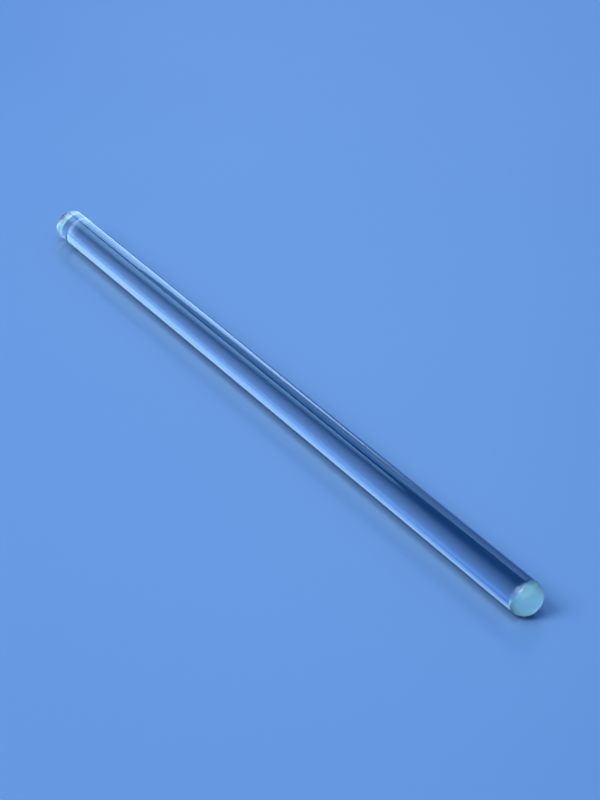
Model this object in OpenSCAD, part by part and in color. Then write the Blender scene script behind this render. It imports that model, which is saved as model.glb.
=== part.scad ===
// Glass stirring rod: a straight length of solid drawn glass rod,
// with both cut ends melted round in a flame.
// The rod lies along X. The origin is on its axis, midway between the ends.

/* [Rod] */
// Overall length, over both rounded ends
rod_length = 160; // [60:1:400]
// Diameter of the drawn rod
rod_diameter = 6; // [4.6:0.1:9.6]

/* [Rounded ends] */
// Radius that the flame leaves where the wall turns into the end
shoulder_radius = 2.1; // [0.8:0.05:2.8]
// Radius of the flatter crown across the middle of the end
crown_radius = 7; // [3.4:0.1:12]

/* [Hidden] */

$fn = 96;
rod_radius = rod_diameter / 2;
glass_colour = [0.80, 0.92, 0.95, 0.45];

// The shoulder's arc is centred this far from the rod's axis.
shoulder_offset = rod_radius - shoulder_radius;
// The crown's arc spans this angle each side of the axis, and there runs into
// the shoulder's arc with no corner.
crown_angle = asin(shoulder_offset / (crown_radius - shoulder_radius));
// The crown is set a hair lower than a bare touch, because two arcs that cross
// join cleanly and two that only touch may not.
crossing = 0.00002;
// Depth of the crown's centre below the shoulder's
crown_depth = (crown_radius - shoulder_radius) * cos(crown_angle) + crossing;
// Height of a rounded end above the straight wall, and length of that wall
end_height = crown_radius - crown_depth;
shank_length = rod_length - 2 * end_height;

// Slice of a disc, from the Y axis clockwise
module slice(radius, angle) {
    intersection() {
        circle(r = radius);
        polygon(2 * radius * [[0, 0], [0, 1], [sin(angle), cos(angle)]]);
    }
}

// Half section of the rod, from its middle to one tip
module half_section() {
    square([rod_radius, shank_length / 2]);
    translate([0, shank_length / 2]) {
        translate([shoulder_offset, 0]) slice(shoulder_radius, 90);
        translate([0, -crown_depth]) slice(crown_radius, crown_angle);
    }
}

module stirring_rod() {
    color(glass_colour)
        rotate([0, 90, 0])
            rotate_extrude() {
                half_section();
                mirror([0, 1]) half_section();
            }
}

stirring_rod();
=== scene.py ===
# %% [markdown]
# # Glass stirring rod
#
# A stirring rod is a plain length of solid glass rod, about as long as a pen.
# Glass workers draw the rod from a hot melt, cut it to length, and then hold
# both cut ends in a flame until surface tension pulls them round.
# This notebook builds the rod as one turned shape, gives it clear glass, and
# lights it with a few soft lamps, because clear glass only shows what is
# around it.

# %% Load the frame
import math
import bpy
import bmesh
from mathutils import Matrix, Vector


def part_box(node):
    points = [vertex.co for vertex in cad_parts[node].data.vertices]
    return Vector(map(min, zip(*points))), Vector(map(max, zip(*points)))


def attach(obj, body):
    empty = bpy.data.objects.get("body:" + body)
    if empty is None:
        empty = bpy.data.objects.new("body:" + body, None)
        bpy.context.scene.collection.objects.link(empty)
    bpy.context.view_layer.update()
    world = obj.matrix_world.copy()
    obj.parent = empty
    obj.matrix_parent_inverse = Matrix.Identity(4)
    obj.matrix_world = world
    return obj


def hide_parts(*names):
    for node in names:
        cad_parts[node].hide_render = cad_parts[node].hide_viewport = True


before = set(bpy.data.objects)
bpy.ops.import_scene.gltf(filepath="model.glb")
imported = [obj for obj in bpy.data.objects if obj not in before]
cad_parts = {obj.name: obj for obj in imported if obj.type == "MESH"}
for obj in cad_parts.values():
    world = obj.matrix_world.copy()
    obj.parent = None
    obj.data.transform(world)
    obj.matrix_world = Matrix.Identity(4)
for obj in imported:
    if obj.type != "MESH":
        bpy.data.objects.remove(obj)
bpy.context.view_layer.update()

lowest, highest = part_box("stirring_rod")
rod_length = highest.x - lowest.x
rod_radius = (highest.z - lowest.z) / 2
print(f"The rod is {1000 * rod_length:.1f} mm long and {2000 * rod_radius:.2f} mm thick")

# %% [markdown]
# ## Rounded ends
#
# A flame rounds the sharp edge of a cut end first and leaves the middle
# flatter. Two arcs describe that: a small one where the wall turns in, called
# the shoulder here, and a wide one across the middle, called the crown. They
# share a tangent where they meet, so the surface has no corner there, and a
# little trigonometry gives the place. The near end was melted well round. The
# far end was melted less, so it has a tighter shoulder and a flatter crown.

# %% Measure the arcs
def measure_end(shoulder_radius, crown_radius):
    """Work out the shoulder centre's offset, the crown's angle and depth, and the end's height."""
    shoulder_offset = rod_radius - shoulder_radius
    crown_angle = math.asin(shoulder_offset / (crown_radius - shoulder_radius))
    crown_depth = (crown_radius - shoulder_radius) * math.cos(crown_angle)
    end_height = crown_radius - crown_depth
    print(f"Radii of {1000 * shoulder_radius:.1f} and {1000 * crown_radius:.0f} mm "
          f"make an end {1000 * end_height:.2f} mm high")
    return shoulder_offset, crown_angle, crown_depth, end_height

near_end = measure_end(shoulder_radius=0.0021, crown_radius=0.0070)
far_end = measure_end(shoulder_radius=0.0015, crown_radius=0.0200)

# %% [markdown]
# ## An outline from single vertices
#
# Spinning a single vertex draws an arc of short edges. For each end, the first
# spin starts at the tip and draws the crown, and the second carries on round
# the shoulder. Glass bends light at every small change of slope, so both arcs
# get many steps. The wall is straight, and needs only one long edge to the
# middle. A short edge first keeps the rounding out of the wall's smooth
# shading.

# %% Draw the outline
crown_steps = 36
shoulder_steps = 44
short_edge = 0.0001

def last_vertex(geometry):
    return [part for part in geometry if isinstance(part, bmesh.types.BMVert)][0]

def draw_half(mesh, side, end):
    """Draw the outline from one tip to the middle, on the side that is 1 or -1 along X."""
    shoulder_offset, crown_angle, crown_depth, end_height = end
    wall_end = rod_length / 2 - end_height
    crown_centre = Vector((side * (wall_end - crown_depth), 0, 0))
    shoulder_centre = Vector((side * wall_end, 0, shoulder_offset))
    vertex = mesh.verts.new((side * rod_length / 2, 0, 0))
    for centre, angle, steps in ((crown_centre, crown_angle, crown_steps),
                                 (shoulder_centre, math.pi / 2 - crown_angle, shoulder_steps)):
        arc = bmesh.ops.spin(mesh, geom=[vertex], cent=centre, axis=(0, -side, 0),
                             angle=angle, steps=steps)
        vertex = last_vertex(arc["geom_last"])
    for x in (wall_end - short_edge, 0):
        longer = bmesh.ops.extrude_vert_indiv(mesh, verts=[vertex])
        vertex = longer["verts"][0]
        vertex.co.x = side * x
    return wall_end

mesh = bmesh.new()
near_wall_end = draw_half(mesh, 1, near_end)
far_wall_end = draw_half(mesh, -1, far_end)
print(f"The outline has {len(mesh.verts)} vertices")

# %% [markdown]
# ## The full turn
#
# One full spin round the rod's own axis makes the surface, as a lathe does.
# The spin leaves a knot of vertices at each tip, and merging the doubled
# vertices closes both tips. At the middle the two halves meet within a
# quarter of a thousandth of a millimetre. That is wider than the merging
# distance, so the two rings of vertices there stay apart.

# %% Spin the outline
turn_steps = 360
merge_distance = 1e-7

bmesh.ops.spin(mesh, geom=mesh.verts[:] + mesh.edges[:], cent=(0, 0, 0), axis=(1, 0, 0),
               angle=2 * math.pi, steps=turn_steps, use_merge=True)
bmesh.ops.remove_doubles(mesh, verts=mesh.verts, dist=merge_distance)
print(f"The full turn has {len(mesh.faces)} faces")

# %% [markdown]
# ## A slanting far end
#
# Rod is scored and snapped to length, and a snapped end is seldom quite
# square. The flame rounds its edge and leaves the slant. Shearing the far end
# along the rod does the same: each vertex moves by an amount that grows
# steadily across the end. One line across the end stays where it was. It
# lies off the middle, so that the slanted end reaches no further than
# before. Last, the face normals are turned outwards, because glass needs to
# know which side is inside.

# %% Slant the far end
slant_angle = math.radians(9)
slant_way = math.radians(30)
still_line = 0.00125

for vertex in mesh.verts:
    if vertex.co.x < -far_wall_end + 1.5 * short_edge:
        across_end = math.cos(slant_way) * vertex.co.y + math.sin(slant_way) * vertex.co.z
        vertex.co.x += math.tan(slant_angle) * (still_line + across_end)

bmesh.ops.recalc_face_normals(mesh, faces=mesh.faces)
open_edges = [edge for edge in mesh.edges if not edge.is_manifold]
print(f"The far end slants by {math.degrees(slant_angle):.0f} degrees, "
      f"and {len(open_edges)} edges are open")

# %% [markdown]
# ## A smooth piece
#
# Smooth shading blends the faces into one even surface. The piece takes the
# place of the plainer CAD rod, whose wall has flat sides that glass would show.

# %% Make the piece
for face in mesh.faces:
    face.smooth = True
rod_mesh = bpy.data.meshes.new("glass_rod")
mesh.to_mesh(rod_mesh)
mesh.free()
rod = bpy.data.objects.new("glass_rod", rod_mesh)
bpy.context.scene.collection.objects.link(rod)
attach(rod, "root")
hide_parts("stirring_rod")
print(f"The piece measures {1000 * rod.dimensions.x:.1f} x {1000 * rod.dimensions.y:.2f} mm")

# %% [markdown]
# ## Sums with shader nodes
#
# A shader is a graph of small nodes, and long sums are hard to read as a
# graph. This class wraps one output of a node, so that a sum can be written
# as ordinary Python and the nodes appear behind it.

# %% Wrap a shader output
class Wire:
    """One output of a shader node, which can stand in a sum like a number."""

    def __init__(self, socket):
        self.socket = socket

    @staticmethod
    def node(tree, kind, settings, values):
        """Add a node: its settings first, then a number or a wire for each input."""
        made = tree.nodes.new(kind)
        for name, value in settings.items():
            setattr(made, name, value)
        for name, value in values.items():
            if isinstance(value, Wire):
                tree.links.new(value.socket, made.inputs[name])
            else:
                made.inputs[name].default_value = value
        return made

    def maths(self, operation, first, second, clamp=False):
        settings = {"operation": operation, "use_clamp": clamp}
        made = Wire.node(self.socket.id_data, "ShaderNodeMath", settings, {0: first, 1: second})
        return Wire(made.outputs[0])

    def __add__(self, other):
        return self.maths("ADD", self, other)

    def __radd__(self, other):
        return self.maths("ADD", other, self)

    def __sub__(self, other):
        return self.maths("SUBTRACT", self, other)

    def __rsub__(self, other):
        return self.maths("SUBTRACT", other, self)

    def __mul__(self, other):
        return self.maths("MULTIPLY", self, other)

    def __rmul__(self, other):
        return self.maths("MULTIPLY", other, self)

    def between(self, start, stop, curve="LINEAR"):
        """Run from 0 at start to 1 at stop, evenly unless a curve is named."""
        made = Wire.node(self.socket.id_data, "ShaderNodeMapRange",
                         {"interpolation_type": curve},
                         {"Value": self, "From Min": start, "From Max": stop})
        return Wire(made.outputs["Result"])

    def blend(self, first, second):
        """Mix two colours, with this wire as the share of the second."""
        made = Wire.node(self.socket.id_data, "ShaderNodeMix", {"data_type": "RGBA"},
                         {"Factor": self, 6: first, 7: second})
        return Wire(made.outputs[2])

print("Sums are ready")

# %% [markdown]
# ## Clear glass
#
# Soda-lime glass bends light more than water does: its index of refraction is
# 1.52. The Principled shader makes clear glass when its transmission is 1 and
# its colour is white: the surface takes no colour away, the inside does.

# %% Start the glass
glass = bpy.data.materials.new("clear_glass")
glass.use_nodes = True
glass_tree = glass.node_tree
glass_shader = glass_tree.nodes["Principled BSDF"]
glass_shader.inputs["Base Color"].default_value = (1, 1, 1, 1)
glass_shader.inputs["Transmission Weight"].default_value = 1
glass_shader.inputs["IOR"].default_value = 1.52
rod_mesh.materials.append(glass)

glass_place = Wire.node(glass_tree, "ShaderNodeTexCoord", {}, {}).outputs["Object"]
print("The glass is clear, with an index of refraction of 1.52")

# %% [markdown]
# ## Drawn wall, melted ends
#
# A drawn wall is as smooth as a window. The ends have knocked against the
# bottoms of beakers, so they are a touch softer in reflection, and the near
# end is the more worn of the two. The distance along the rod tells wall and
# ends apart, and the roughness rises over a short stretch at the start of each
# rounding.

# %% Vary the roughness
near_roughness = 0.26
far_roughness = 0.10
wear_starts_over = 0.0004

split_place = Wire.node(glass_tree, "ShaderNodeSeparateXYZ", {}, {0: Wire(glass_place)})
along_rod = Wire(split_place.outputs["X"])
on_near_end = along_rod.between(near_wall_end, near_wall_end + wear_starts_over, "SMOOTHSTEP")
on_far_end = along_rod.between(-far_wall_end, -far_wall_end - wear_starts_over, "SMOOTHSTEP")
glass_roughness = near_roughness * on_near_end + far_roughness * on_far_end
glass_tree.links.new(glass_roughness.socket, glass_shader.inputs["Roughness"])
print(f"Roughness is 0 on the wall, {near_roughness} and {far_roughness} on the ends")

# %% [markdown]
# ## Draw lines
#
# Pulling the rod from the melt leaves waves along it, far too shallow to
# feel. Noise that is stretched along the rod makes them, as a bump less than
# a thousandth of a millimetre high. It makes the long reflections waver. The
# flame has melted the lines away on both ends.

# %% Add the draw lines
line_height = 0.0000006
line_length = 0.125
line_width = 0.002

stretched = Wire.node(glass_tree, "ShaderNodeMapping", {}, {
    "Vector": Wire(glass_place),
    "Scale": (1 / line_length, 1 / line_width, 1 / line_width)})
waves = Wire.node(glass_tree, "ShaderNodeTexNoise", {}, {
    "Vector": Wire(stretched.outputs["Vector"]), "Scale": 1.0, "Detail": 2.0})
draw_lines = Wire.node(glass_tree, "ShaderNodeBump", {}, {
    "Strength": 1.0, "Distance": line_height,
    "Height": Wire(waves.outputs[0]) * (1 - on_near_end - on_far_end)})
glass_tree.links.new(draw_lines.outputs["Normal"], glass_shader.inputs["Normal"])
print(f"Draw lines are {1e6 * line_height:.1f} thousandths of a millimetre high")

# %% [markdown]
# ## A tint with depth
#
# A trace of iron makes soda-lime glass blue-green, but only through a long
# way of glass. Looking across the rod it seems colourless, and an end that
# glows with light from along the rod looks aqua. Absorption inside the glass
# does just this, because it grows with the distance that light travels.

# %% Tint the inside
tint_colour = (0.17, 0.78, 0.66, 1)
tint_density = 4.0

tint = Wire.node(glass_tree, "ShaderNodeVolumeAbsorption", {}, {
    "Color": tint_colour, "Density": tint_density})
glass_output = glass_tree.nodes["Material Output"]
glass_tree.links.new(tint.outputs["Volume"], glass_output.inputs["Volume"])
red_left = math.exp(-tint_density * (1 - tint_colour[0]) * rod_length)
print(f"{100 * red_left:.0f} percent of red light is left at the rod's other end")

# %% [markdown]
# ## Pale blue floor
#
# The rod lies on a plain sheet. It is a single large square at the rod's
# lowest line, with a slight sheen that is never quite even.

# %% Lay the floor
floor_colour = (0.14, 0.34, 0.80, 1)
half_floor = 6

sheet = bmesh.new()
bmesh.ops.create_grid(sheet, x_segments=1, y_segments=1, size=half_floor)
bmesh.ops.translate(sheet, verts=sheet.verts, vec=(0, 0, lowest.z))
floor_mesh = bpy.data.meshes.new("floor")
sheet.to_mesh(floor_mesh)
sheet.free()
floor = bpy.data.objects.new("floor", floor_mesh)
bpy.context.scene.collection.objects.link(floor)

floor_finish = bpy.data.materials.new("floor_finish")
floor_finish.use_nodes = True
floor_tree = floor_finish.node_tree
floor_shader = floor_tree.nodes["Principled BSDF"]
floor_shader.inputs["Base Color"].default_value = floor_colour
floor_place = Wire.node(floor_tree, "ShaderNodeTexCoord", {}, {}).outputs["Object"]
patches = Wire.node(floor_tree, "ShaderNodeTexNoise", {}, {
    "Vector": Wire(floor_place), "Scale": 12.0, "Detail": 3.0})
floor_roughness = 0.21 + 0.08 * Wire(patches.outputs[0])
floor_tree.links.new(floor_roughness.socket, floor_shader.inputs["Roughness"])
floor_mesh.materials.append(floor_finish)
print(f"The floor is {2 * half_floor} m square")

# %% [markdown]
# ## Backdrop
#
# Clear glass has no colour of its own, so the backdrop draws most of what is
# seen in it. Glass is often lit with a dark cloth on one side and a strip of
# light that glows behind it: the dark side gives the rod its deep stripes,
# and the strip gives it the bright edges. The strip here lies along the rod,
# so it is measured by an angle round the rod's axis, up from the floor. It
# grows slowly at first and faster higher up, which a power makes, and it is
# brighter towards the far end of the rod. How far a ray looks right, back and
# up is a number from -1 to 1 each.

# %% Shape the glow
world = bpy.data.worlds.new("studio")
world.use_nodes = True
bpy.context.scene.world = world
world_tree = world.node_tree
outlook = Wire.node(world_tree, "ShaderNodeTexCoord", {}, {}).outputs["Generated"]
split_outlook = Wire.node(world_tree, "ShaderNodeSeparateXYZ", {}, {0: Wire(outlook)})
right, back, up = (Wire(split_outlook.outputs[name]) for name in ("X", "Y", "Z"))

strip_top = 60
radians_to_degrees = 180 / math.pi
angle_round_rod = up.maths("ARCTAN2", up, back) * radians_to_degrees
towards_far_end = right.between(-0.707, -0.82)
rise = angle_round_rod.between(0, 45)
rise = rise.maths("POWER", rise, 1.3)
low_glow = 0.17 + 0.51 * towards_far_end
high_glow = 0.98 + 0.12 * towards_far_end
strip = low_glow * (1 - rise) + high_glow * rise
strip_fades_above = 1 - angle_round_rod.between(46, strip_top, "SMOOTHSTEP")
strip_fades_aside = 1 - right.between(-0.69, -0.62, "SMOOTHSTEP")
glow = strip * strip_fades_above * strip_fades_aside
print(f"The strip of light reaches {strip_top} degrees up behind the rod")

# %% [markdown]
# ## Backdrop colours
#
# The glow goes from the cloth's own dark blue through deep blue and sky blue
# to pale blue as it gets stronger, as cloth does under a blue lamp. The far
# corner on the left stays deep blue, and the rest of the room on the right is
# a pale backdrop.

# %% Colour the backdrop
cloth_blue = (0.012, 0.05, 0.18, 1)
deep_blue = (0.085, 0.25, 0.74, 1)
sky_blue = (0.235, 0.50, 1.07, 1)
pale_blue = (0.60, 1.00, 1.50, 1)
backdrop_blue = (0.33, 0.60, 0.95, 1)
corner_blue = (0.08, 0.22, 0.75, 1)

full_glow = glow.between(0, 0.25).blend(cloth_blue, deep_blue)
full_glow = glow.between(0.25, 0.5).blend(full_glow, sky_blue)
full_glow = glow.between(0.5, 1.0).blend(full_glow, pale_blue)
full_glow = right.between(-0.84, -0.90).blend(full_glow, corner_blue)
backdrop = right.between(-0.60, -0.40, "SMOOTHSTEP").blend(full_glow, backdrop_blue)
print("The backdrop runs from", cloth_blue[:3], "to", pale_blue[:3])

# %% [markdown]
# ## A panel overhead
#
# The pale band along the top of the rod mirrors a soft panel overhead. Its
# upper edge is crisp, and it fades towards its foot. Along the rod the foot
# draws nearer to the edge, so the band tapers towards the near end. It also
# stops short of the rod's own direction, because a floor seen at a low angle
# would mirror it there.

# %% Shape the panel
panel_blue = (1.25, 2.60, 4.60, 1)
end_edge, edge_slant = 88, 100
end_foot, foot_slant = 111, 246

past_panel_end = right + 0.745
panel_edge = end_edge + edge_slant * past_panel_end
panel_foot = end_foot - foot_slant * past_panel_end
panel = (panel_foot - angle_round_rod).between(0, 24)
panel = panel * (angle_round_rod - panel_edge).between(0, 2, "SMOOTHSTEP")
panel = panel * (1 - past_panel_end.between(0, 0.005, "SMOOTHSTEP"))
panel = panel * right.between(-0.87, -0.85, "SMOOTHSTEP")
print(f"At its near end the panel hangs from {end_edge} to {end_foot} degrees")

# %% [markdown]
# ## What each ray sees
#
# The camera, reflections and light that passes through glass all see the
# backdrop. Reflections see it a little bluer, which keeps the darker parts of
# the glass clean, and they alone see the panel. Everything else, such as the
# floor's own colour, takes an even blue light from all round, which keeps the
# shadows soft and blue.

# %% Join the backdrop to the world
reflection_tint = (0.87, 0.95, 1.13)
room_light = (0.20, 0.60, 1.00, 1)
room_strength = 0.40

ray = Wire.node(world_tree, "ShaderNodeLightPath", {}, {})
through_glass = Wire(ray.outputs["Is Transmission Ray"])
seen = Wire(ray.outputs["Is Camera Ray"]) + Wire(ray.outputs["Is Glossy Ray"])
seen = seen.maths("ADD", seen, through_glass, clamp=True)
reflected = Wire(ray.outputs["Is Glossy Ray"]) * (1 - through_glass)
bluer = Wire.node(world_tree, "ShaderNodeVectorMath", {"operation": "MULTIPLY"}, {
    0: backdrop, 1: reflection_tint})
mirrored = panel.blend(Wire(bluer.outputs["Vector"]), panel_blue)
seen_light = world_tree.nodes["Background"]
world_tree.links.new(reflected.blend(backdrop, mirrored).socket, seen_light.inputs["Color"])
even_light = Wire.node(world_tree, "ShaderNodeBackground", {}, {
    "Color": room_light, "Strength": room_strength})
both_lights = Wire.node(world_tree, "ShaderNodeMixShader", {}, {
    0: seen, 1: Wire(even_light.outputs[0]), 2: Wire(seen_light.outputs[0])})
world_tree.links.new(both_lights.outputs[0], world_tree.nodes["World Output"].inputs["Surface"])
print(f"Even light has a strength of {room_strength}")

# %% [markdown]
# ## Lamps
#
# Every lamp is a soft rectangle. Its brightness is given as what a mirror
# would show, and the power in watts follows from its area. A switch for each
# kind of ray says which light may see it: a lamp for the floor stays out of
# the glass, where it would be a hard square, and a window for the glass
# doesn't whiten the floor.

# %% Make a soft lamp
def soft_lamp(name, centre, across, upwards, size, brightness, colour, seen_by):
    """Add a rectangle that shines along upwards x across."""
    across, upwards = Vector(across).normalized(), Vector(upwards).normalized()
    light = bpy.data.lights.new(name, "AREA")
    light.shape = "RECTANGLE"
    light.size, light.size_y = size
    light.color = colour
    light.energy = brightness * math.pi * size[0] * size[1]
    lamp = bpy.data.objects.new(name, light)
    bpy.context.scene.collection.objects.link(lamp)
    facing = Matrix((across, upwards, across.cross(upwards))).transposed().to_4x4()
    lamp.matrix_world = Matrix.Translation(Vector(centre)) @ facing
    lamp.visible_camera = False
    lamp.visible_diffuse = "diffuse" in seen_by
    lamp.visible_glossy = "glossy" in seen_by
    lamp.visible_transmission = "transmission" in seen_by
    print(f"{name}: {light.energy:.2f} W")
    return lamp

# %% [markdown]
# ## Light on the floor
#
# The main lamp stands on the camera's side, about 45 degrees up. Its shadow
# falls behind the rod, just where the camera looks through the glass, and
# that gives the glass its dark core. A second, weaker lamp overhead draws the
# soft shadow that ties the rod to the floor. Both are slightly warm, which
# evens out the blue light of the room.

# %% Light the floor
lamp_white = (1.0, 0.79, 0.62)

soft_lamp("main lamp", centre=(0, -0.50, 0.54), across=(1, 0, 0),
          upwards=(0, 0.734, 0.679), size=(0.4, 0.4), brightness=8.7,
          colour=lamp_white, seen_by={"diffuse"})
soft_lamp("overhead lamp", centre=(0, -0.05, 0.70), across=(1, 0, 0),
          upwards=(0, 1, 0), size=(0.5, 0.25), brightness=3.1,
          colour=lamp_white, seen_by={"diffuse"})

# %% [markdown]
# ## Windows in the glass
#
# The bright highlight on the far edge is the reflection of a window. It is a
# long slanting pane beside the rod, so the highlight tapers to nothing. A
# dimmer, bluer window higher up fills the glass below the highlight, and the
# gap between that window and the panel leaves a thin dark line. A roof window
# draws a highlight for anyone who looks down on the rod. All three shine only
# on the rod, by light linking, because a floor with some sheen would mirror
# them as well.

# %% Hang the windows
only_the_rod = bpy.data.collections.new("only_the_rod")
only_the_rod.objects.link(rod)

side_window = soft_lamp("side window", centre=(-1.679, 0.5, 0.477),
                        across=(-0.616, 0, -0.787), upwards=(-0.787, 0, 0.616),
                        size=(0.93, 2.19), brightness=4.2,
                        colour=(0.27, 0.46, 0.76), seen_by={"glossy"})
blue_window = soft_lamp("blue window", centre=(-0.90, 0.275, 0.5),
                        across=(-1, 0, 0), upwards=(0, -1, 0),
                        size=(0.70, 0.30), brightness=1.9,
                        colour=(0.14, 0.42, 1.0), seen_by={"glossy"})
roof_window = soft_lamp("roof window", centre=(0, -0.55, 0.6),
                        across=(1, 0, 0), upwards=(0, 1, 0),
                        size=(0.80, 0.70), brightness=5.0,
                        colour=(0.80, 0.92, 1.0), seen_by={"glossy"})
for window in (side_window, blue_window, roof_window):
    window.light_linking.receiver_collection = only_the_rod

# %% [markdown]
# ## Light along the rod
#
# Light that enters one end runs along the rod and comes out at the other, as
# it does in a glass fibre. A broad pane beyond the near end and a small one
# beyond the far end feed it, so both ends glow. They are seen only through
# the glass.

# %% Feed the ends
soft_lamp("end pane", centre=(1.0, 0, 0.6), across=(0, 1, 0),
          upwards=(-0.51, 0, 0.86), size=(2.0, 1.2), brightness=2.2,
          colour=(0.86, 0.86, 1.0), seen_by={"transmission"})
soft_lamp("far pane", centre=(-0.7, 0, 0.2), across=(0, -1, 0),
          upwards=(0.27, 0, 0.96), size=(0.35, 0.3), brightness=1.5,
          colour=(0.70, 0.90, 1.0), seen_by={"transmission"})

# %% [markdown]
# ## Camera
#
# The camera looks along the rod, from 30 degrees to its side and 27 degrees
# above. Its long lens lets the rod cross the picture from corner to corner
# with a near end that is only a little larger. A slight roll finishes the
# slant.

# %% Place the camera
aim = Vector((0.005014, 0.002266, 0))
height, turn, roll = (math.radians(angle) for angle in (26.872, -30.282, 1.452))
distance = 0.525288

towards_camera = Vector((math.cos(height) * math.cos(turn),
                         math.cos(height) * math.sin(turn),
                         math.sin(height)))
level = (-towards_camera).cross(Vector((0, 0, 1))).normalized()
upright = level.cross(-towards_camera)
camera_right = math.cos(roll) * level + math.sin(roll) * upright
camera_up = math.cos(roll) * upright - math.sin(roll) * level

camera = bpy.data.objects.new("camera", bpy.data.cameras.new("camera"))
bpy.context.scene.collection.objects.link(camera)
camera_axes = Matrix((camera_right, camera_up, towards_camera)).transposed().to_4x4()
camera.matrix_world = Matrix.Translation(aim + distance * towards_camera) @ camera_axes
camera.data.lens = 139.5
camera.data.clip_start = 0.01
camera.data.clip_end = 20
bpy.context.scene.camera = camera
print(f"The camera stands {1000 * distance:.0f} mm from its aim")

# %% [markdown]
# ## Patience for glass
#
# Light that runs along the rod bounces off its wall a dozen times or more
# before it leaves. The renderer gives up after a few bounces unless it is told
# not to.

# %% Allow many bounces
bounces = 64

scene = bpy.context.scene
scene.view_settings.view_transform = "Standard"
scene.cycles.max_bounces = bounces
scene.cycles.transmission_bounces = bounces
scene.cycles.glossy_bounces = bounces
scene.cycles.caustics_refractive = False
scene.cycles.caustics_reflective = False
scene.cycles.blur_glossy = 0
print(f"Light may bounce {bounces} times")
